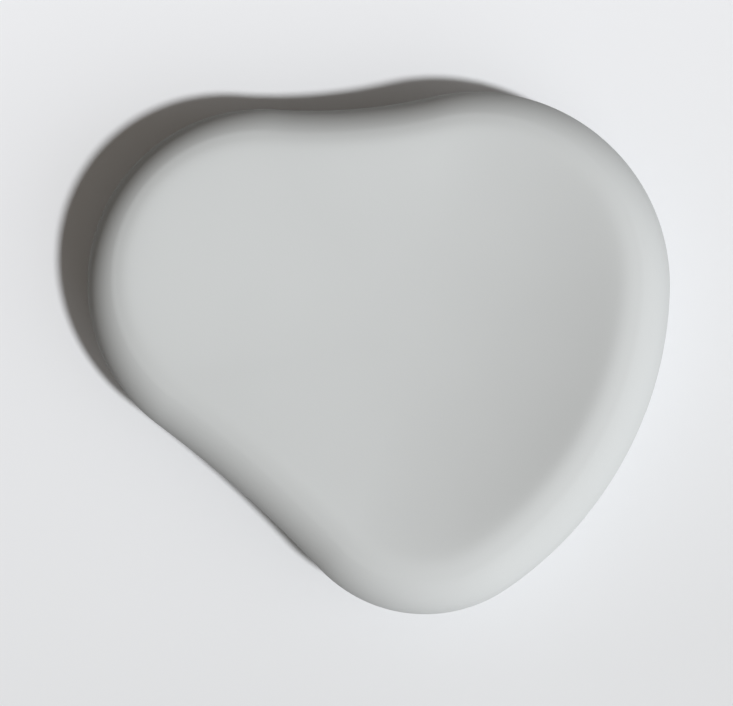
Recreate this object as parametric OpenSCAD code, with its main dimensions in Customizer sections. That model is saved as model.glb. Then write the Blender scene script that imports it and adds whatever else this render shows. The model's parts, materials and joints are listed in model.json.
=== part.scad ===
// Slim retainer case: a soft moulded clamshell with a pebble outline of three lobes.
// Millimetres. +Z is up, -X is the front that a thumb opens, +X is the hinge side.
// The origin lies on the flat underside, at the middle of the outline.

/* [Outline] */
// Radius of the front lobe, the one that a thumb opens
front_lobe_radius = 26.5; // [25:0.1:28]
// Place of the front lobe's centre along X
front_lobe_x = -17.1; // [-19:0.1:-15]
// Place of the front lobe's centre along Y
front_lobe_y = -5.7; // [-8:0.1:-3]
// Radius of the left rear lobe
left_lobe_radius = 29.3; // [27:0.1:31]
// Place of the left rear lobe's centre along X
left_lobe_x = 11; // [9:0.1:13]
// Place of the left rear lobe's centre along Y
left_lobe_y = 10.3; // [8:0.1:13]
// Radius of the right rear lobe
right_lobe_radius = 21.9; // [20.5:0.1:24]
// Place of the right rear lobe's centre along X
right_lobe_x = 18.2; // [16:0.1:20]
// Place of the right rear lobe's centre along Y
right_lobe_y = -17.7; // [-20:0.1:-16]
// Radius of the hollow side between the left and front lobes
left_waist_radius = 80; // [60:1:110]
// Radius of the hollow side between the front and right lobes
right_waist_radius = 180; // [120:1:260]
// Radius of the full side between the right and left lobes, which carries the hinge
hinge_side_radius = 56.5; // [52:0.5:62]

/* [Heights] */
// Height of the closed case at the lid's crest
case_height = 18.5; // [18:0.1:20]
// Height of the base's rim
base_rim_height = 8.7; // [8.6:0.05:9.2]
// Gap between the two rims when the case is closed
seam_gap = 0.3; // [0.3:0.05:0.6]

/* [Shoulders] */
// Width of the base's lower shoulder, seen from below
base_shoulder_width = 9.5; // [8:0.1:11]
// Height of the base's lower shoulder
base_shoulder_height = 7.4; // [6.6:0.1:7.6]
// Width of the lid's shoulder, from the outline to the crest
lid_shoulder_width = 6.9; // [6.6:0.1:7.6]
// How far the crest lies off the outline's middle along X
crest_shift_x = -0.9; // [-1.2:0.1:0]
// How far the crest lies off the outline's middle along Y
crest_shift_y = 0.8; // [0:0.1:1]
// Depth of the lid's shallow dish below the crest
dish_depth = 3.6; // [1.5:0.1:3.8]
// How gently the dish starts at the crest
dish_softness = 1.2; // [1.1:0.05:1.6]
// Radius of the circles that the dish's rings turn into towards its middle
dish_roundness = 36; // [30:1:40]
// Place of the dish's lowest point along X
dish_centre_x = 7; // [2:0.5:12]
// Place of the dish's lowest point along Y
dish_centre_y = -1.5; // [-5:0.5:4]

/* [Walls] */
// Thickness of the base's floor
floor_thickness = 2; // [1.6:0.1:2.6]
// Thickness of the lid's dished top
top_thickness = 1.8; // [1.4:0.1:2.2]
// Width of the lid's rim
rim_width = 6.5; // [6.2:0.1:7]
// Radius on the outer edges of both rims
rim_edge_radius = 0.5; // [0.3:0.05:0.6]
// Size of the chamfer on the inner edge of the lid's rim
lid_inner_edge = 0.3; // [0.1:0.05:0.5]
// Radius between the base's wall and floor
floor_fillet = 2.2; // [1.5:0.1:3]
// Size of the round between the lid's wall and top
top_fillet = 1.8; // [1.2:0.1:2.2]
// Height of the lip on the base that keeps the lid in place
lip_height = 1.2; // [0.8:0.1:1.6]
// Thickness of that lip
lip_thickness = 1; // [0.8:0.1:1.3]
// Clearance round the lip
lip_clearance = 0.35; // [0.3:0.05:0.5]
// Size of the chamfers on the lip's two edges
lip_edge = 0.25; // [0.1:0.05:0.3]

/* [Stiffening rings] */
// Inset of the stiffening rings from the outline
ring_inset = 1.8; // [1.6:0.1:2]
// Width of the stiffening rings
ring_width = 3; // [2.4:0.1:3.2]
// Thickness of the stiffening rings
ring_thickness = 1.5; // [1.2:0.1:1.7]
// Height of the base ring's underside
base_ring_height = 4.4; // [4.2:0.1:4.6]
// Distance from the lid's rim up to its ring
lid_ring_rise = 2.5; // [2.4:0.05:2.7]
// Thickness of the magnet cups below a magnet
cup_floor = 1.1; // [0.8:0.1:1.2]
// Wall of the magnet cups
cup_wall = 0.5; // [0.4:0.05:0.6]

/* [Magnets] */
// Diameter of the disc magnets
magnet_diameter = 4; // [3.6:0.1:4.2]
// Thickness of the disc magnets
magnet_thickness = 1.95; // [1.6:0.05:2.1]
// Inset of the magnets' centres from the outline
magnet_inset = 3.3; // [3.2:0.05:3.5]
// Angle of each magnet from the middle of the front lobe
magnet_angle = 35; // [32:1:42]
// Clearance round a magnet
magnet_clearance = 0.05; // [0.03:0.01:0.1]
// How far the magnets and cups lie below the rim's face
magnet_recess = 0.1; // [0.05:0.01:0.2]

/* [Hinge] */
// Length of the flexible hinge strip along the case's side
hinge_length = 18; // [14:0.5:22]
// Thickness of the hinge strip
hinge_thickness = 1; // [0.7:0.05:1.2]
// Radius of the hinge strip's outer fold
hinge_fold_radius = 2.1; // [1.8:0.05:2.2]
// Clearance round the hinge strip
hinge_clearance = 0.25; // [0.2:0.05:0.35]
// How far the turning line lies outside the outline
axis_offset = 0.2; // [0.2:0.05:0.5]

/* [Floor] */
// Number of drying ribs on the floor
rib_count = 5; // [3:1:5]
// Distance between the drying ribs
rib_spacing = 8; // [7:0.5:9]
// Distance between the ribs' ends and the foot of the wall
rib_margin = 2; // [1:0.1:4]
// Width of a rib
rib_width = 1.4; // [1:0.1:2]
// Height of a rib above the floor
rib_height = 0.9; // [0.6:0.1:1.2]
// Diameter of the vent holes
vent_diameter = 3; // [2:0.1:4]
// Distance between the vent holes along a row
vent_spacing = 12; // [8:1:14]
// Depth of the finger scoop under the lid's front edge
scoop_depth = 1.4; // [1:0.1:1.7]
// Radius of the finger scoop
scoop_radius = 4; // [3.5:0.1:4.5]
// Height of the finger scoop's middle
scoop_height = 6.2; // [5.8:0.1:6.4]
// Length of the finger scoop
scoop_length = 26; // [20:1:30]

/* [Hidden] */
// Points along each lobe and each side of the outline
lobe_steps = 21;
waist_steps = 4;
side_steps = 6;
// Steps of a full turn round the hinge side's centre, the same for the strip and its room
hinge_steps = 360;
$fn = 64;
silicone = [0.80, 0.81, 0.80];
stiff_plastic = [0.90, 0.90, 0.88];
nickel = [0.72, 0.72, 0.74];
// How far a cutter reaches past the face that it cuts
past = 1;
front_centre = [front_lobe_x, front_lobe_y];
left_centre = [left_lobe_x, left_lobe_y];
right_centre = [right_lobe_x, right_lobe_y];
lid_rim_height = base_rim_height + seam_gap;
axis_height = base_rim_height + seam_gap / 2;
lid_shoulder_foot = lid_rim_height + rim_edge_radius;
lid_shoulder_height = case_height - lid_shoulder_foot;
lid_underside = case_height - top_thickness;
lip_inset = rim_width + lip_clearance;
base_wall_inset = lip_inset + lip_thickness;
cup_radius = magnet_diameter / 2 + magnet_clearance + cup_wall;
cup_bore_radius = magnet_diameter / 2 + magnet_clearance;
cup_height = magnet_thickness + cup_floor;
cup_top = base_rim_height - magnet_recess;
lid_cup_bottom = lid_rim_height + magnet_recess;
lid_ring_height = lid_rim_height + lid_ring_rise;

// Centre of a side's arc that touches two lobes; a hollow side has a negative radius.
// The shape is followed counterclockwise, so its outside lies to the right of the way.
function side_centre(c1, r1, c2, r2, side) =
  let (
    apart = norm(c2 - c1),
    along = (c2 - c1) / apart,
    out = [along.y, -along.x],
    a = side - r1,
    b = side - r2,
    x = (a * a - b * b + apart * apart) / (2 * apart),
    h = sqrt(a * a - x * x)
  )
  c1 + along * x - out * h * sign(side);
// Direction of the outline's normal where a lobe and a side touch.
function touch_angle(lobe, centre, side) =
  let (d = (lobe - centre) * sign(side))
  atan2(d.y, d.x);
function turned(from, to) = to < from ? to + 360 : to;
// Points of one arc, each with the outward normal.
function arc(centre, radius, from, to, steps) = [
  for (i = [0:steps - 1])
    let (a = from + (to - from) * i / steps)
    [centre.x + radius * cos(a), centre.y + radius * sin(a), cos(a), sin(a)]
];

front_right_side = side_centre(
  front_centre, front_lobe_radius, right_centre, right_lobe_radius, -right_waist_radius);
hinge_side = side_centre(
  right_centre, right_lobe_radius, left_centre, left_lobe_radius, hinge_side_radius);
left_front_side = side_centre(
  left_centre, left_lobe_radius, front_centre, front_lobe_radius, -left_waist_radius);
front_out = touch_angle(front_centre, front_right_side, -1);
right_in = touch_angle(right_centre, front_right_side, -1);
right_out = touch_angle(right_centre, hinge_side, 1);
left_in = touch_angle(left_centre, hinge_side, 1);
left_out = touch_angle(left_centre, left_front_side, -1);
front_in = touch_angle(front_centre, left_front_side, -1);
outline = concat(
  arc(front_centre, front_lobe_radius, front_in, turned(front_in, front_out), lobe_steps),
  arc(front_right_side, -right_waist_radius, front_out, right_in, waist_steps),
  arc(right_centre, right_lobe_radius, right_in, turned(right_in, right_out), lobe_steps),
  arc(hinge_side, hinge_side_radius, right_out, left_in, side_steps),
  arc(left_centre, left_lobe_radius, left_in, turned(left_in, left_out), lobe_steps),
  arc(left_front_side, -left_waist_radius, left_out, front_in, waist_steps)
);
axis_x = hinge_side.x + hinge_side_radius + axis_offset;
hinge_half_angle = hinge_length / hinge_side_radius * 90 / PI;
hinge_gap_angle = hinge_clearance / hinge_side_radius * 180 / PI;

// The outline moved inwards, as plan points and as a ring at one height.
function plan(inset) = [for (p = outline) [p[0] - inset * p[2], p[1] - inset * p[3]]];
function ring(inset, z) = [for (p = outline) [p[0] - inset * p[2], p[1] - inset * p[3], z]];
// A ring of the lid's shoulder, which leans towards the crest as it rises.
function leaning(inset, z) =
  let (share = inset / lid_shoulder_width)
  [for (p = ring(inset, z)) p + share * [crest_shift_x, crest_shift_y, 0]];
// A ring drawn in towards the dish's lowest point and down into the dish, rounder as it gets smaller.
function drawn_in(outer, share) = [
  for (p = outer)
    let (
      middle = [dish_centre_x, dish_centre_y],
      way = [p.x, p.y] - middle,
      reach = share * (dish_roundness + share * (norm(way) - dish_roundness)),
      place = middle + reach * way / norm(way)
    )
    [place.x, place.y, p.z - dish_depth * pow(1 - share * share, dish_softness)]
];
// Quarter of an ellipse as insets and heights, from its foot or from its side.
function quarter(inset, z, wide, high, from, to, steps) = [
  for (i = [0:steps])
    let (t = from + (to - from) * i / steps)
    [inset - wide * cos(t), z + high * sin(t)]
];

// A closed skin through a run of rings, with the first and last ring as flat ends.
module skin(rings) {
  n = len(rings[0]);
  m = len(rings);
  polyhedron(
    points = [for (r = rings) each r],
    faces = concat(
      [[for (i = [0:n - 1]) i]],
      [
        for (j = [0:m - 2], i = [0:n - 1], half = [0, 1])
          let (k = (i + 1) % n)
          half == 0 ? [j * n + i, (j + 1) * n + i, (j + 1) * n + k] : [j * n + i, (j + 1) * n + k, j * n + k]
      ],
      [[for (i = [n - 1:-1:0]) (m - 1) * n + i]]
    ),
    convexity = 6
  );
}

base_profile = concat(
  quarter(base_shoulder_width, base_shoulder_height, base_shoulder_width, base_shoulder_height, -90, 0, 7),
  quarter(rim_edge_radius, base_rim_height - rim_edge_radius, rim_edge_radius, rim_edge_radius, 0, 90, 2),
  [
    [lip_inset, base_rim_height],
    [lip_inset, base_rim_height + lip_height - lip_edge],
    [lip_inset + lip_edge, base_rim_height + lip_height],
    [base_wall_inset - lip_edge, base_rim_height + lip_height],
    [base_wall_inset, base_rim_height + lip_height - lip_edge]
  ],
  [
    for (t = [0:30:90])
      [
        base_wall_inset + floor_fillet * (1 - cos(t)),
        floor_thickness + floor_fillet * (1 - sin(t))
      ]
  ]
);

// From the fillet under the lid's top down to the rim and round its outer edge.
lid_profile = concat(
  [
    for (t = [0:30:90])
      [
        rim_width + top_fillet * (1 - sin(t)),
        lid_underside - top_fillet * (1 - cos(t))
      ]
  ],
  [
    [rim_width, lid_rim_height + lid_inner_edge],
    [rim_width - lid_inner_edge, lid_rim_height]
  ],
  quarter(rim_edge_radius, lid_shoulder_foot, rim_edge_radius, rim_edge_radius, -90, -30, 2)
);
// From the rim's edge up to the crest.
lid_shoulder = quarter(
  lid_shoulder_width, lid_shoulder_foot, lid_shoulder_width, lid_shoulder_height, 0, 90, 9);
// How far each ring of the lid's top is drawn in, from the middle of its underside and from its crest.
underside_shares = [0.08, 0.3, 0.5, 0.7, 0.85, 0.95];
dish_shares = [0.98, 0.93, 0.85, 0.75, 0.62, 0.46, 0.28, 0.1];

module magnet_place(side) {
  translate([front_lobe_x, front_lobe_y, 0])
    rotate([0, 0, 180 + side * magnet_angle])
      translate([front_lobe_radius - magnet_inset, 0, 0])
        children();
}

module both_magnet_places() {
  for (side = [-1, 1])
    magnet_place(side)
      children();
}

module band(bottom) {
  translate([0, 0, bottom])
    linear_extrude(height = ring_thickness)
      difference() {
        polygon(plan(ring_inset));
        polygon(plan(ring_inset + ring_width));
      }
}

// Room for the hinge strip in the two rims.
module hinge_room() {
  translate([hinge_side.x, hinge_side.y, axis_height])
    rotate([0, 0, -hinge_half_angle - hinge_gap_angle])
      rotate_extrude(angle = 2 * (hinge_half_angle + hinge_gap_angle), $fn = hinge_steps)
        translate([hinge_side_radius - hinge_fold_radius, -hinge_fold_radius - hinge_clearance])
          square([hinge_fold_radius + past, 2 * (hinge_fold_radius + hinge_clearance)]);
}

// Bars on the floor that keep a wet retainer off it, ending short of the wall all round.
module ribs() {
  embedded = floor_thickness / 4;
  translate([0, 0, floor_thickness - embedded])
    linear_extrude(height = rib_height + embedded)
      intersection() {
        polygon(plan(base_wall_inset + floor_fillet + rib_margin));
        for (i = [0:rib_count - 1])
          translate([0, (i - (rib_count - 1) / 2) * rib_spacing])
            square([4 * front_lobe_radius, rib_width], center = true);
      }
}

module base_shell() {
  color(silicone)
    difference() {
      union() {
        skin([for (p = base_profile) ring(p[0], p[1])]);
        ribs();
      }
      band(base_ring_height);
      both_magnet_places()
        translate([0, 0, cup_top - cup_height])
          cylinder(r = cup_radius, h = cup_height + past);
      hinge_room();
      translate([front_lobe_x - front_lobe_radius + scoop_depth - scoop_radius, front_lobe_y, scoop_height])
        rotate([90, 0, 0])
          cylinder(r = scoop_radius, h = scoop_length, center = true);
      for (x = [-1:1], side = [-1, 1])
        translate([x * vent_spacing, side * rib_spacing / 2, -past])
          cylinder(d = vent_diameter, h = floor_thickness + 2 * past);
    }
}

module lid_shell() {
  color(silicone)
    difference() {
      skin(concat(
        [for (s = underside_shares) drawn_in(ring(rim_width + top_fillet, lid_underside), s)],
        [for (p = lid_profile) ring(p[0], p[1])],
        [for (p = lid_shoulder) leaning(p[0], p[1])],
        [for (s = dish_shares) drawn_in(leaning(lid_shoulder_width, case_height), s)]
      ));
      band(lid_ring_height);
      both_magnet_places()
        translate([0, 0, lid_rim_height - past])
          cylinder(r = cup_radius, h = cup_height + magnet_recess + past);
      hinge_room();
    }
}

module base_ring() {
  color(stiff_plastic)
    difference() {
      union() {
        band(base_ring_height);
        both_magnet_places()
          translate([0, 0, cup_top - cup_height])
            cylinder(r = cup_radius, h = cup_height);
      }
      both_magnet_places()
        translate([0, 0, cup_top - magnet_thickness])
          cylinder(r = cup_bore_radius, h = magnet_thickness + past);
    }
}

module lid_ring() {
  color(stiff_plastic)
    difference() {
      union() {
        band(lid_ring_height);
        both_magnet_places()
          translate([0, 0, lid_cup_bottom])
            cylinder(r = cup_radius, h = cup_height);
      }
      both_magnet_places()
        translate([0, 0, lid_cup_bottom - past])
          cylinder(r = cup_bore_radius, h = magnet_thickness + past);
    }
}

module magnet(side, bottom) {
  color(nickel)
    magnet_place(side)
      translate([0, 0, bottom])
        cylinder(d = magnet_diameter, h = magnet_thickness);
}

module base_magnet_left() {
  magnet(-1, cup_top - magnet_thickness);
}

module base_magnet_right() {
  magnet(1, cup_top - magnet_thickness);
}

module lid_magnet_left() {
  magnet(-1, lid_cup_bottom);
}

module lid_magnet_right() {
  magnet(1, lid_cup_bottom);
}

// The flexible strip that joins the two rims: a fold that follows the case's side.
module hinge_web() {
  color(silicone)
    translate([hinge_side.x, hinge_side.y, axis_height])
      rotate([0, 0, -hinge_half_angle])
        rotate_extrude(angle = 2 * hinge_half_angle, $fn = hinge_steps)
          translate([hinge_side_radius - hinge_fold_radius, 0])
            intersection() {
              difference() {
                circle(r = hinge_fold_radius);
                circle(r = hinge_fold_radius - hinge_thickness);
              }
              translate([0, -hinge_fold_radius])
                square([hinge_fold_radius, 2 * hinge_fold_radius]);
            }
}

base_shell();
base_ring();
base_magnet_left();
base_magnet_right();
lid_shell();
lid_ring();
lid_magnet_left();
lid_magnet_right();
hinge_web();
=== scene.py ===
import json
from math import asin, atan2, ceil, copysign, cos, pi, radians, sin, sqrt, tau

import bmesh
import bpy
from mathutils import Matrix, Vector


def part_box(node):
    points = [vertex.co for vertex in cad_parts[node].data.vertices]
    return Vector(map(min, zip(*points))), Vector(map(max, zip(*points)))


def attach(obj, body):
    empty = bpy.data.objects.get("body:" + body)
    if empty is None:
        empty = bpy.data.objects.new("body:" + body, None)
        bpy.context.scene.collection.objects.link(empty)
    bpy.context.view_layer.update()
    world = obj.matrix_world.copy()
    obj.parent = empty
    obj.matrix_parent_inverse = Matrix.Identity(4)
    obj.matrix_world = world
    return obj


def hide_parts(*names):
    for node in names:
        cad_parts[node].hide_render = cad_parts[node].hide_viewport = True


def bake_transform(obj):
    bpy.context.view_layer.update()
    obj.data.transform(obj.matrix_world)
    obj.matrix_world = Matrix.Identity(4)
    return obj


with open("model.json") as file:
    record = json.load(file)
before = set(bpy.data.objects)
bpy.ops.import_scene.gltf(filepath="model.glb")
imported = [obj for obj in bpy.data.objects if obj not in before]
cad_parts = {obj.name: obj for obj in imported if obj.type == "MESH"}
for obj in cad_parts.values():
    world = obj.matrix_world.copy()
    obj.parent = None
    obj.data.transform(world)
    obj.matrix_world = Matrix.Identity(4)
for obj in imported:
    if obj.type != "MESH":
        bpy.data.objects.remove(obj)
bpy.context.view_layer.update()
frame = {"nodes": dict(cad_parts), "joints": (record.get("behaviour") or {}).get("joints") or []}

# Sizes are written in millimetres and turned to metres by MM.
MM = 0.001
Z = Vector((0, 0, 1))

# The pebble outline: centre and radius of each lobe, and the radius of each side between two lobes.
# A hollow side has a negative radius. They follow one another counterclockwise from the front.
LOBES = [
    (Vector((-17.1, -5.7, 0)) * MM, 26.5 * MM),
    (Vector((18.2, -17.7, 0)) * MM, 21.9 * MM),
    (Vector((11, 10.3, 0)) * MM, 29.3 * MM),
]
SIDES = [-180 * MM, 56.5 * MM, -80 * MM]

# Heights that the frame gives
CASE_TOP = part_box("lid_shell")[1].z
LID_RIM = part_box("lid_shell")[0].z
HINGE_HEIGHT = frame["joints"][0]["pos_m"][2]

# Shoulders and dish. The finished crest turns 0.4 mm further in than the solid's.
BASE_SHOULDER_WIDTH = 9.5 * MM
BASE_SHOULDER_HEIGHT = 7.4 * MM
LID_SHOULDER_WIDTH = 7.3 * MM
CREST_SHIFT = Vector((-0.9, 0.8, 0)) * MM
CREST_ROUND = 0.45 * MM
CREST_PASSES = 25
DISH_DEPTH = 3.6 * MM
DISH_SOFTNESS = 1.2
DISH_ROUNDNESS = 36 * MM
DISH_CENTRE = Vector((7, -1.5, 0)) * MM

# Walls and rims
FLOOR = 2 * MM
TOP_THICKNESS = 1.8 * MM
RIM_WIDTH = 6.5 * MM
RIM_EDGE = 0.5 * MM
LID_INNER_EDGE = 0.3 * MM
FLOOR_FILLET = 2.2 * MM
TOP_FILLET = 1.8 * MM
LIP_HEIGHT = 1.2 * MM
LIP_THICKNESS = 1 * MM
LIP_CLEARANCE = 0.35 * MM
LIP_EDGE = 0.25 * MM
BASE_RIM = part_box("base_shell")[1].z - LIP_HEIGHT
LID_SHOULDER_FOOT = LID_RIM + RIM_EDGE
LIP_INSET = RIM_WIDTH + LIP_CLEARANCE
BASE_WALL = LIP_INSET + LIP_THICKNESS

# Stiffening rings and magnets
RING_INSET = 1.8 * MM
RING_WIDTH = 3 * MM
RING_THICKNESS = 1.5 * MM
BASE_RING_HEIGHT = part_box("base_ring")[0].z
LID_RING_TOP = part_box("lid_ring")[1].z
CUP_RADIUS = 2.55 * MM
CUP_FLOOR = 1.1 * MM
CUP_EDGE = 0.15 * MM
MAGNET_INSET = 3.3 * MM
MAGNET_ANGLE = radians(35)
MAGNET_RADIUS = 2 * MM
MAGNET_EDGE = 0.15 * MM

# Hinge strip
HINGE_LENGTH = 18 * MM
HINGE_THICKNESS = 1 * MM
HINGE_FOLD = 2.1 * MM
HINGE_CLEARANCE = 0.25 * MM
HINGE_EDGE = 0.15 * MM
HINGE_ROOT = 0.3 * MM

# Floor, vents and finger scoop
RIB_COUNT = 5
RIB_SPACING = 8 * MM
RIB_MARGIN = 2 * MM
RIB_WIDTH = 1.4 * MM
RIB_HEIGHT = 0.9 * MM
RIB_FOOT = 0.35 * MM
VENT_RADIUS = 1.5 * MM
VENT_SPACING = 12 * MM
HOLE_EDGE = 0.3 * MM
SCOOP_DEPTH = 1.4 * MM
SCOOP_RADIUS = 4 * MM
SCOOP_HEIGHT = 6.2 * MM
SCOOP_SOFTNESS = 0.25 * MM

# Longest step along an outline, and widest turn of one step
STEP = 0.9 * MM
TURN = radians(7.5)

# Steps of the large curves. Small edges take 3 to 8, written where they are drawn.
BASE_SHOULDER_STEPS = 24
LID_SHOULDER_STEPS = 30
UNDERSIDE_STEPS = 28
DISH_STEPS = 46
HINGE_ARC_STEPS = 24
HINGE_FOLD_STEPS = 18

# Above 1, the dish's rings lie closer together towards the crest.
DISH_CROWDING = 1.2

# Corners that turn by more than this stay sharp in the shading.
SHARP_CORNER = radians(35)

# Azimuth of both lamps in degrees, how far out the board's painted light and thrown light run, and
# how far the board reaches
LAMP_AZIMUTH = -1.5
BOARD_RAMPS_END = 60 * MM
BOARD_REACH = 20000 * MM


def side_centre(first, second, side):
    """Centre of the arc that touches two lobes."""
    (start, first_radius), (end, second_radius) = first, second
    apart = (end - start).length
    along = (end - start) / apart
    outward = along.cross(Z)
    a = side - first_radius
    b = side - second_radius
    x = (a * a - b * b + apart * apart) / (2 * apart)
    return start + along * x - outward * copysign(sqrt(a * a - x * x), side)


def direction(angle):
    return Vector((cos(angle), sin(angle), 0))


def pebble():
    """The outline's arcs, counterclockwise from the front lobe: centre, radius, start and turn."""
    centres = [side_centre(LOBES[i], LOBES[(i + 1) % 3], SIDES[i]) for i in range(3)]

    def touch(lobe, side):
        way = (LOBES[lobe][0] - centres[side]) * copysign(1, SIDES[side])
        return atan2(way.y, way.x)

    arcs = []
    for i in range(3):
        after = (i + 1) % 3
        start = touch(i, i - 1)
        arcs.append((*LOBES[i], start, (touch(i, i) - start) % tau))
        start = touch(i, i)
        turn = (touch(after, i) - start + pi) % tau - pi
        arcs.append((centres[i], SIDES[i], start, turn))
    return arcs


def hinge_side():
    """Centre and radius of the arc that carries the hinge."""
    return pebble()[3][:2]


def circle(centre, radius):
    return [(centre, radius, 0, tau)]


def stadium(low, high, radius):
    """Two half circles about the ends of a bar that lies along X."""
    return [(high, radius, -pi / 2, pi), (low, radius, pi / 2, pi)]


def inset(depth, height):
    """A step of a profile: the outline moved inwards, at one height."""
    return lambda foot, out: foot - out * depth + Z * height


def leaning(depth, height):
    """A step of the lid's shoulder, which leans towards the crest as it rises."""
    straight = inset(depth, height)
    return lambda foot, out: straight(foot, out) + CREST_SHIFT * (depth / LID_SHOULDER_WIDTH)


def drawn_in(first, share):
    """The dish's first step drawn in to its lowest point, rounder as it gets smaller."""
    def place(foot, out):
        edge = first(foot, out)
        way = Vector((edge.x, edge.y, 0)) - DISH_CENTRE
        far = share * (DISH_ROUNDNESS + share * (way.length - DISH_ROUNDNESS))
        fall = DISH_DEPTH * (1 - share * share) ** DISH_SOFTNESS
        return DISH_CENTRE + way.normalized() * far + Z * (edge.z - fall)
    return place


def sweep(start, end, steps):
    return [start + (end - start) * i / steps for i in range(steps + 1)]


def quarter(depth, height, wide, high, start, end, steps=8, step=inset):
    """Steps on a quarter of an ellipse about an inset and a height, between angles in degrees."""
    return [
        step(depth - wide * cos(angle), height + high * sin(angle))
        for angle in sweep(radians(start), radians(end), steps)
    ]


def skin(arcs, profile):
    """A closed shape. Its first ring is spun from the arcs, and the others are extruded."""
    shape = bmesh.new()
    layers = shape.verts.layers.float_vector
    foot = layers.new("foot")
    out = layers.new("out")
    ends = []
    for centre, radius, start, turn in arcs:
        steps = max(ceil(abs(radius * turn) / STEP), ceil(abs(turn) / TURN))
        first = shape.verts.new(centre + direction(start) * radius)
        last = bmesh.ops.spin(
            shape, geom=[first], cent=centre, axis=Z, angle=turn, steps=steps,
            use_merge=turn == tau)
        ends.append((first, last["geom_last"][0]))
        for vert in shape.verts:
            if not vert[out].length:
                vert[foot] = vert.co
                vert[out] = (vert.co - centre) / radius
    if len(arcs) > 1:
        for i in range(len(arcs)):
            shape.edges.new((ends[i - 1][1], ends[i][0]))
    bmesh.ops.remove_doubles(shape, verts=shape.verts, dist=0.001 * MM)
    ring = shape.edges[:]
    for vert in shape.verts:
        vert.co = profile[0](vert[foot], vert[out])
    bmesh.ops.contextual_create(shape, geom=ring)
    for place in profile[1:]:
        grown = bmesh.ops.extrude_edge_only(shape, edges=ring)["geom"]
        for vert in grown:
            if isinstance(vert, bmesh.types.BMVert):
                vert.co = place(vert[foot], vert[out])
        edges = [part for part in grown if isinstance(part, bmesh.types.BMEdge)]
        ring = [edge for edge in edges if edge.is_boundary]
    bmesh.ops.contextual_create(shape, geom=ring)
    bmesh.ops.recalc_face_normals(shape, faces=shape.faces)
    for name in ("foot", "out"):
        layers.remove(layers[name])
    return shape


def make_piece(name, *shapes):
    """One object that holds these closed shapes."""
    mesh = bpy.data.meshes.new(name)
    joined = bmesh.new()
    for shape in shapes:
        shape.to_mesh(mesh)
        shape.free()
        joined.from_mesh(mesh)
    joined.to_mesh(mesh)
    joined.free()
    piece = bpy.data.objects.new(name, mesh)
    bpy.context.scene.collection.objects.link(piece)
    return piece


def combine(piece, tool, operation):
    """Adds a tool's shape to a piece or takes it away, and keeps the result as its mesh."""
    modifier = piece.modifiers.new(operation, "BOOLEAN")
    modifier.operation = operation
    modifier.solver = "EXACT"
    modifier.object = tool
    evaluated = piece.evaluated_get(bpy.context.evaluated_depsgraph_get())
    piece.data = bpy.data.meshes.new_from_object(evaluated)
    piece.modifiers.clear()
    bpy.data.objects.remove(tool)


def finish_piece(piece, material, body, slot, *nodes):
    """Smooth faces with sharp corners kept, one material, and its place on a body of the frame."""
    mesh = piece.data
    mesh.materials.clear()
    mesh.materials.append(material)
    mesh.shade_smooth()
    mesh.set_sharp_from_angle(angle=SHARP_CORNER)
    weighted = piece.modifiers.new("Even shading on flat faces", "WEIGHTED_NORMAL")
    weighted.keep_sharp = True
    if body:
        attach(piece, body)
    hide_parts(*nodes)


def linear(colour):
    """A colour written as sRGB hex, as linear red, green, blue and alpha."""
    parts = [int(colour[i:i + 2], 16) / 255 for i in (1, 3, 5)]
    return [c / 12.92 if c <= 0.04045 else ((c + 0.055) / 1.055) ** 2.4 for c in parts] + [1]


def add_node(tree, kind, settings=None, inputs=None):
    """Adds a node. An input given a socket is linked to it, and any other gets the value."""
    node = tree.nodes.new(kind)
    for name, value in (settings or {}).items():
        setattr(node, name, value)
    for name, value in (inputs or {}).items():
        if isinstance(value, bpy.types.NodeSocket):
            tree.links.new(value, node.inputs[name])
        else:
            node.inputs[name].default_value = value
    return node


def mix_colours(tree, factor, first, second):
    """A blend of two colours, each of them a socket or a linear colour."""
    mix = add_node(tree, "ShaderNodeMix", {"data_type": "RGBA"}, {
        "Factor": factor, "A": first, "B": second})
    return mix.outputs[2]


def new_material(name):
    """A material with an empty node tree and its output."""
    material = bpy.data.materials.new(name)
    material.use_nodes = True
    material.node_tree.nodes.clear()
    output = add_node(material.node_tree, "ShaderNodeOutputMaterial")
    return material, material.node_tree, output


def per_metre(size):
    """Scale of a noise whose grains are this far apart."""
    return 1 / size


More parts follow.
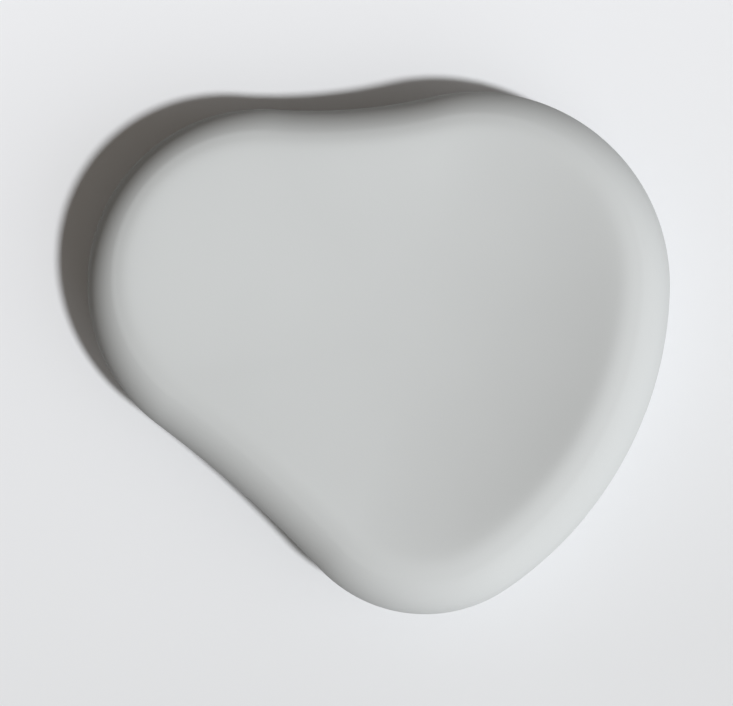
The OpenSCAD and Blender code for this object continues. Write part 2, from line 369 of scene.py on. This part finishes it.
def moulded_silicone():
    """Silicone from a blasted mould: a dry, fine-grained, cool grey with a soft wide sheen."""
    material, tree, output = new_material("matt moulded silicone")
    place = add_node(tree, "ShaderNodeTexCoord").outputs["Object"]
    # The mould's blasting is about 0.05 mm across and is drawn coarser, so that it just shows.
    grain = add_node(tree, "ShaderNodeTexNoise", None, {
        "Vector": place, "Scale": per_metre(0.3 * MM), "Detail": 2.0, "Roughness": 0.6})
    # A broad unevenness of the cured rubber, a few hundredths of a millimetre high.
    swell = add_node(tree, "ShaderNodeTexNoise", None, {
        "Vector": place, "Scale": per_metre(14 * MM), "Detail": 1.0, "Roughness": 0.4})
    tone = mix_colours(tree, swell.outputs["Fac"], linear("#C8CBCC"), linear("#CBCECF"))
    dull = add_node(tree, "ShaderNodeMapRange", None, {
        "Value": swell.outputs["Fac"], "To Min": 0.66, "To Max": 0.74})
    low = add_node(tree, "ShaderNodeBump", None, {
        "Height": swell.outputs["Fac"], "Strength": 1.0, "Distance": 0.03 * MM})
    bump = add_node(tree, "ShaderNodeBump", None, {
        "Height": grain.outputs["Fac"], "Normal": low.outputs["Normal"], "Strength": 1.0,
        "Distance": 0.008 * MM})
    shader = add_node(tree, "ShaderNodeBsdfPrincipled", None, {
        "Base Color": tone, "Roughness": dull.outputs["Result"], "IOR": 1.41,
        "Specular IOR Level": 0.15, "Normal": bump.outputs["Normal"]})
    tree.links.new(shader.outputs["BSDF"], output.inputs["Surface"])
    return material


def moulded_plastic():
    """Uncoloured stiff ABS of the rings: an even off-white, a low gloss and faint flow marks."""
    material, tree, output = new_material("off-white moulded ABS")
    place = add_node(tree, "ShaderNodeTexCoord").outputs["Object"]
    flow = add_node(tree, "ShaderNodeTexNoise", None, {
        "Vector": place, "Scale": per_metre(2 * MM), "Detail": 3.0})
    tone = mix_colours(tree, flow.outputs["Fac"], linear("#DEDCD3"), linear("#E6E4DC"))
    bump = add_node(tree, "ShaderNodeBump", None, {
        "Height": flow.outputs["Fac"], "Strength": 1.0, "Distance": 0.006 * MM})
    shader = add_node(tree, "ShaderNodeBsdfPrincipled", None, {
        "Base Color": tone, "Roughness": 0.38, "IOR": 1.53, "Normal": bump.outputs["Normal"]})
    tree.links.new(shader.outputs["BSDF"], output.inputs["Surface"])
    return material


def nickel_plate():
    """Barrel-plated nickel on the magnets: bright, a little warm, softened by tumbling marks."""
    material, tree, output = new_material("barrel-plated nickel")
    place = add_node(tree, "ShaderNodeTexCoord").outputs["Object"]
    marks = add_node(tree, "ShaderNodeTexNoise", None, {
        "Vector": place, "Scale": per_metre(0.5 * MM), "Detail": 4.0, "Roughness": 0.7})
    rough = add_node(tree, "ShaderNodeMapRange", None, {
        "Value": marks.outputs["Fac"], "To Min": 0.18, "To Max": 0.34})
    bump = add_node(tree, "ShaderNodeBump", None, {
        "Height": marks.outputs["Fac"], "Strength": 1.0, "Distance": 0.003 * MM})
    shader = add_node(tree, "ShaderNodeBsdfPrincipled", None, {
        "Base Color": linear("#C4BEB3"), "Metallic": 1.0, "Roughness": rough.outputs["Result"],
        "Normal": bump.outputs["Normal"]})
    tree.links.new(shader.outputs["BSDF"], output.inputs["Surface"])
    return material


def seen_directly(tree):
    """1 where the background is seen, also mirrored or through glass, and 0 where it lights."""
    rays = add_node(tree, "ShaderNodeLightPath")
    direct = add_node(tree, "ShaderNodeMath", {"operation": "MAXIMUM"}, {
        0: rays.outputs["Is Camera Ray"], 1: rays.outputs["Is Glossy Ray"]})
    through = add_node(tree, "ShaderNodeMath", {"operation": "MAXIMUM"}, {
        0: direct.outputs["Value"], 1: rays.outputs["Is Transmission Ray"]})
    return through.outputs["Value"]


def across_board(tree, place, azimuth):
    """0 to 1 across the board under the case, along an azimuth in degrees."""
    along = add_node(tree, "ShaderNodeVectorMath", {"operation": "DOT_PRODUCT"}, {
        0: place, 1: direction(radians(azimuth))})
    share = add_node(tree, "ShaderNodeMapRange", None, {
        "Value": along.outputs["Value"], "From Min": -BOARD_RAMPS_END, "From Max": BOARD_RAMPS_END})
    return share.outputs["Result"]


def coated_board():
    """White board: plain, matt and slightly cool, with painted light paler towards one edge."""
    material, tree, output = new_material("white coated board")
    place = add_node(tree, "ShaderNodeTexCoord").outputs["Object"]
    # Painted light: the board's colour is paler towards azimuth 131, standing in for uneven light
    # across the board.
    painted_falloff = across_board(tree, place, 131)
    tone = mix_colours(tree, painted_falloff, linear("#E4E6E9"), linear("#F4F6FA"))
    # The board throws light onto the case from the lamps' side, and next to none from the other.
    lit = across_board(tree, place, 0)
    thrown = mix_colours(tree, lit, linear("#363636"), linear("#DADBDC"))
    shader = add_node(tree, "ShaderNodeBsdfPrincipled", None, {
        "Base Color": mix_colours(tree, seen_directly(tree), thrown, tone),
        "Roughness": 0.9, "Specular IOR Level": 0.0})
    tree.links.new(shader.outputs["BSDF"], output.inputs["Surface"])
    return material


def base_profile():
    """From the underside's middle round the wall, over the rim and lip, and down to the floor."""
    wide, high = BASE_SHOULDER_WIDTH, BASE_SHOULDER_HEIGHT
    lip_corner = BASE_RIM + LIP_HEIGHT - LIP_EDGE
    floor_edge = BASE_WALL + FLOOR_FILLET
    straight = sweep(high, BASE_RIM - RIM_EDGE, 3)[1:-1]
    return [
        inset(wide + 1 * MM, 0),
        *quarter(wide, high, wide, high, -90, 0, BASE_SHOULDER_STEPS),
        *[inset(0, height) for height in straight],
        *quarter(RIM_EDGE, BASE_RIM - RIM_EDGE, RIM_EDGE, RIM_EDGE, 0, 90, 6),
        inset(LIP_INSET, BASE_RIM),
        *quarter(LIP_INSET + LIP_EDGE, lip_corner, LIP_EDGE, LIP_EDGE, 0, 90, 4),
        *quarter(BASE_WALL - LIP_EDGE, lip_corner, LIP_EDGE, LIP_EDGE, 90, 180, 4),
        *quarter(floor_edge, FLOOR + FLOOR_FILLET, FLOOR_FILLET, FLOOR_FILLET, 0, -90, 8),
        inset(floor_edge + 0.5 * MM, FLOOR),
    ]


def lid_profile():
    """From the middle of the lid's underside to the wall, round the rim, and over to the dish."""
    under = CASE_TOP - TOP_THICKNESS
    ceiling = inset(RIM_WIDTH + TOP_FILLET, under)
    # By sines, the underside's rings lie closer together towards its edge, where it bends most.
    underside = sweep(radians(1), radians(84), UNDERSIDE_STEPS)
    edge = LID_INNER_EDGE
    wide, rise = LID_SHOULDER_WIDTH, CASE_TOP - LID_SHOULDER_FOOT
    crest = leaning(wide, CASE_TOP)
    inwards = [1 - (i / DISH_STEPS) ** DISH_CROWDING for i in range(1, DISH_STEPS)]
    return [
        *[drawn_in(ceiling, sin(angle)) for angle in underside],
        *quarter(RIM_WIDTH + TOP_FILLET, under - TOP_FILLET, TOP_FILLET, TOP_FILLET, 90, 0),
        *quarter(RIM_WIDTH - edge, LID_RIM + edge, edge, edge, 180, 270, 4),
        *quarter(RIM_EDGE, LID_SHOULDER_FOOT, RIM_EDGE, RIM_EDGE, -90, 0, 6)[:-1],
        *quarter(wide, LID_SHOULDER_FOOT, wide, rise, 0, 90, LID_SHOULDER_STEPS, leaning),
        *[drawn_in(crest, share) for share in inwards],
    ]


def reach(arcs, depth, y):
    """Lowest and highest X at which the outline, moved inwards, crosses a line along X."""
    found = []
    for centre, radius, start, turn in arcs:
        rise = (y - centre.y) / (radius - depth)
        if abs(rise) < 1:
            for angle in (asin(rise), pi - asin(rise)):
                past = (angle - min(start, start + turn)) % tau
                if past <= abs(turn):
                    found.append(centre.x + (radius - depth) * cos(angle))
    return min(found), max(found)


def rib(arcs, y):
    """A rounded bar on the floor, with a soft foot and round ends."""
    half = RIB_WIDTH / 2
    edge = 0.5 * half
    low, high = reach(arcs, BASE_WALL + FLOOR_FILLET + RIB_MARGIN, y)
    ends = [Vector((low + half, y, 0)), Vector((high - half, y, 0))]
    return skin(stadium(*ends, half), [
        inset(-RIB_FOOT, FLOOR / 2),
        *quarter(-RIB_FOOT, FLOOR + RIB_FOOT, -RIB_FOOT, RIB_FOOT, -90, 0, 5),
        *quarter(edge, FLOOR + RIB_HEIGHT - edge, edge, edge, 0, 90, 5),
        inset(0.9 * half, FLOOR + RIB_HEIGHT),
    ])


def vent(x, y):
    """A cutter for a round hole through the floor that leaves rounded edges."""
    edge = HOLE_EDGE
    return skin(circle(Vector((x, y, 0)), VENT_RADIUS), [
        inset(-edge, -1 * MM),
        *quarter(-edge, edge, -edge, edge, -90, 0, 5),
        *quarter(-edge, FLOOR - edge, -edge, edge, 0, 90, 5),
        inset(-edge, FLOOR + 1 * MM),
    ])


def magnet_place(side):
    centre, radius = LOBES[0]
    return centre + direction(pi + side * MAGNET_ANGLE) * (radius - MAGNET_INSET)


def magnet_holes(start, rim):
    """Cutters for the two round holes in a rim, from their end outwards, with rounded mouths."""
    way = copysign(1, rim - start)
    mouth = rim - way * CUP_EDGE
    return [
        skin(circle(magnet_place(side), CUP_RADIUS), [
            inset(0, start),
            *quarter(-CUP_EDGE, mouth, -CUP_EDGE, way * CUP_EDGE, 0, 90, 4),
            inset(-CUP_EDGE, rim + way * CUP_EDGE),
        ])
        for side in (-1, 1)
    ]


def ring_room(arcs, bottom):
    """A cutter for the room that a stiffening ring fills inside the rubber."""
    top = bottom + RING_THICKNESS
    room = make_piece("ring_room", skin(arcs, [inset(RING_INSET, bottom), inset(RING_INSET, top)]))
    inner = RING_INSET + RING_WIDTH
    middle = skin(arcs, [inset(inner, bottom - RING_THICKNESS), inset(inner, top + RING_THICKNESS)])
    combine(room, make_piece("ring_middle", middle), "DIFFERENCE")
    return room


def hinge_sweep(corners, half_angle):
    """A closed bar along the hinge side, from its section's corners as distances out and up."""
    centre, radius = hinge_side()
    shape = bmesh.new()
    out = direction(-half_angle)
    section = [
        shape.verts.new(centre + out * (radius + x) + Z * (HINGE_HEIGHT + z)) for x, z in corners]
    # The section is hollow on one side, so its corners keep their own order.
    face = shape.faces.new(section)
    bmesh.ops.spin(
        shape, geom=[face], cent=centre, axis=Z, angle=2 * half_angle, steps=HINGE_ARC_STEPS,
        use_merge=False)
    bmesh.ops.holes_fill(shape, edges=[edge for edge in shape.edges if edge.is_boundary])
    bmesh.ops.recalc_face_normals(shape, faces=shape.faces)
    return shape


def hinge_room():
    """A cutter for the pocket that the hinge strip folds into."""
    half = HINGE_FOLD + HINGE_CLEARANCE
    angle = (HINGE_LENGTH / 2 + HINGE_CLEARANCE) / hinge_side()[1]
    corners = [(-HINGE_FOLD, -half), (HINGE_FOLD, -half), (HINGE_FOLD, half), (-HINGE_FOLD, half)]
    return make_piece("hinge_room", hinge_sweep(corners, angle))


def build_hinge(silicone):
    """The moulded strip between the two rims, folded in two while the case is closed."""
    inner = HINGE_FOLD - HINGE_THICKNESS
    turns = sweep(-pi / 2, pi / 2, HINGE_FOLD_STEPS)
    outside = [(HINGE_FOLD * (cos(a) - 1), HINGE_FOLD * sin(a)) for a in turns]
    inside = [(inner * cos(a) - HINGE_FOLD, inner * sin(a)) for a in reversed(turns)]
    root = -HINGE_FOLD - HINGE_ROOT
    corners = [
        (root, -HINGE_FOLD), *outside, (root, HINGE_FOLD), (root, inner), *inside, (root, -inner)]
    shape = hinge_sweep(corners, (HINGE_LENGTH / 2 - HINGE_EDGE) / hinge_side()[1])
    # Each end face is drawn in and out again in steps, which rounds its edge.
    round_edge = sweep(0, pi / 2, 3)
    for start, end in zip(round_edge, round_edge[1:]):
        ends = [face for face in shape.faces if len(face.verts) > 4]
        bmesh.ops.inset_region(
            shape, faces=ends, thickness=HINGE_EDGE * (cos(start) - cos(end)),
            depth=HINGE_EDGE * (sin(end) - sin(start)))
    piece = make_piece("hinge_strip", shape)
    finish_piece(piece, silicone, None, "silicone", "hinge_web")
    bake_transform(piece)


def build_magnets(nickel):
    for body in ("base", "lid"):
        for side, word in ((-1, "left"), (1, "right")):
            node = f"{body}_magnet_{word}"
            low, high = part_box(node)
            edge = MAGNET_EDGE
            shape = skin(circle(magnet_place(side), MAGNET_RADIUS), [
                *quarter(edge, low.z + edge, edge, edge, -90, 0, 4),
                *quarter(edge, high.z - edge, edge, edge, 0, 90, 4),
            ])
            disc = make_piece(f"{body}_disc_magnet_{word}", shape)
            finish_piece(disc, nickel, body, "nickel_plate", node)


def build_base(silicone):
    arcs = pebble()
    shape = skin(arcs, base_profile())
    front, front_radius = LOBES[0]
    scoop_x = front.x - front_radius + SCOOP_DEPTH - SCOOP_RADIUS
    for vert in shape.verts:
        rise = vert.co.z - SCOOP_HEIGHT
        if abs(rise) < SCOOP_RADIUS and vert.co.x < 0:
            depth = scoop_x + sqrt(SCOOP_RADIUS ** 2 - rise ** 2) - vert.co.x
            if depth > 0:
                vert.co.x += depth * depth / (depth + SCOOP_SOFTNESS)
    piece = make_piece("base_silicone_shell", shape)
    rows = [(i - (RIB_COUNT - 1) / 2) * RIB_SPACING for i in range(RIB_COUNT)]
    combine(piece, make_piece("ribs", *[rib(arcs, y) for y in rows]), "UNION")
    holes = [vent(x * VENT_SPACING, y * RIB_SPACING / 2) for x in (-1, 0, 1) for y in (-1, 1)]
    combine(piece, make_piece("vents", *holes), "DIFFERENCE")
    combine(piece, ring_room(arcs, BASE_RING_HEIGHT), "DIFFERENCE")
    cup_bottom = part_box("base_magnet_left")[0].z - CUP_FLOOR
    combine(piece, make_piece("magnet_holes", *magnet_holes(cup_bottom, BASE_RIM)), "DIFFERENCE")
    combine(piece, hinge_room(), "DIFFERENCE")
    finish_piece(piece, silicone, "base", "silicone", "base_shell")


def build_lid(silicone):
    arcs = pebble()
    shape = skin(arcs, lid_profile())
    crest = [vert for vert in shape.verts if vert.co.z > CASE_TOP - CREST_ROUND]
    for _ in range(CREST_PASSES):
        bmesh.ops.smooth_vert(
            shape, verts=crest, factor=0.5, use_axis_x=True, use_axis_y=True, use_axis_z=True)
    piece = make_piece("lid_silicone_shell", shape)
    combine(piece, ring_room(arcs, LID_RING_TOP - RING_THICKNESS), "DIFFERENCE")
    cup_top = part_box("lid_magnet_left")[1].z + CUP_FLOOR
    combine(piece, make_piece("magnet_holes", *magnet_holes(cup_top, LID_RIM)), "DIFFERENCE")
    combine(piece, hinge_room(), "DIFFERENCE")
    finish_piece(piece, silicone, "lid", "silicone", "lid_shell")


def add_lamp(name, elevation, width, level, colour):
    """A distant lamp, angles in degrees. At level 1, a surface facing it shows its own colour."""
    lamp = bpy.data.lights.new(name, "SUN")
    lamp.energy = level * pi
    lamp.angle = radians(width)
    lamp.color = colour
    up = radians(elevation)
    towards = direction(radians(LAMP_AZIMUTH)) * cos(up) + Z * sin(up)
    holder = bpy.data.objects.new(name, lamp)
    holder.rotation_euler = towards.to_track_quat("Z", "Y").to_euler()
    bpy.context.scene.collection.objects.link(holder)


def build_stage():
    """A wide plain floor, a key lamp, a low wide lamp on the same side and a dim even fill."""
    shape = bmesh.new()
    bmesh.ops.create_grid(shape, x_segments=1, y_segments=1, size=BOARD_REACH)
    floor = make_piece("floor", shape)
    floor.data.materials.append(coated_board())
    add_lamp("key", elevation=61, width=5.5, level=0.779, colour=(0.995, 1.0, 1.0))
    add_lamp("low_wide", elevation=25, width=70, level=0.256, colour=(0.97, 1.0, 1.03))
    world = bpy.data.worlds.new("studio")
    bpy.context.scene.world = world
    world.use_nodes = True
    tree = world.node_tree
    tree.nodes.clear()
    output = add_node(tree, "ShaderNodeOutputWorld")
    fill = add_node(tree, "ShaderNodeBackground", None, {
        "Color": linear("#FFF3E5"), "Strength": 0.158})
    shown = add_node(tree, "ShaderNodeBackground", None, {
        "Color": linear("#F4F5F6"), "Strength": 1.0})
    mixed = add_node(tree, "ShaderNodeMixShader", None, {
        0: seen_directly(tree), 1: fill.outputs["Background"], 2: shown.outputs["Background"]})
    tree.links.new(mixed.outputs["Shader"], output.inputs["Surface"])


def build_camera():
    """Straight above the case, turned so that the picture's right lies at azimuth 30 degrees."""
    pixels_per_mm = 6.6
    picture_width = 733
    turn = radians(30)
    # The photograph's middle, measured from the origin to the right and upwards in the picture
    right, up = -1.94 * MM, -6.79 * MM
    middle = direction(turn) * right + direction(turn + pi / 2) * up
    distance = 420 * MM
    data = bpy.data.cameras.new("camera")
    data.sensor_width = 36
    data.lens = data.sensor_width * distance / (picture_width / pixels_per_mm * MM)
    data.clip_start = 10 * MM
    camera = bpy.data.objects.new("camera", data)
    # The scale holds at the height where the case is widest.
    camera.location = middle + Z * (LID_SHOULDER_FOOT + distance)
    camera.rotation_euler = (0, 0, turn)
    bpy.context.scene.collection.objects.link(camera)
    bpy.context.scene.camera = camera


build_camera()
build_stage()
silicone = moulded_silicone()
plastic = moulded_plastic()
nickel = nickel_plate()
build_base(silicone)
build_lid(silicone)
build_hinge(silicone)
build_magnets(nickel)
for name, node in frame["nodes"].items():
    material = plastic if "ring" in name else nickel if "magnet" in name else silicone
    node.data.materials.clear()
    node.data.materials.append(material)

bpy.context.scene.view_settings.view_transform = "Standard"
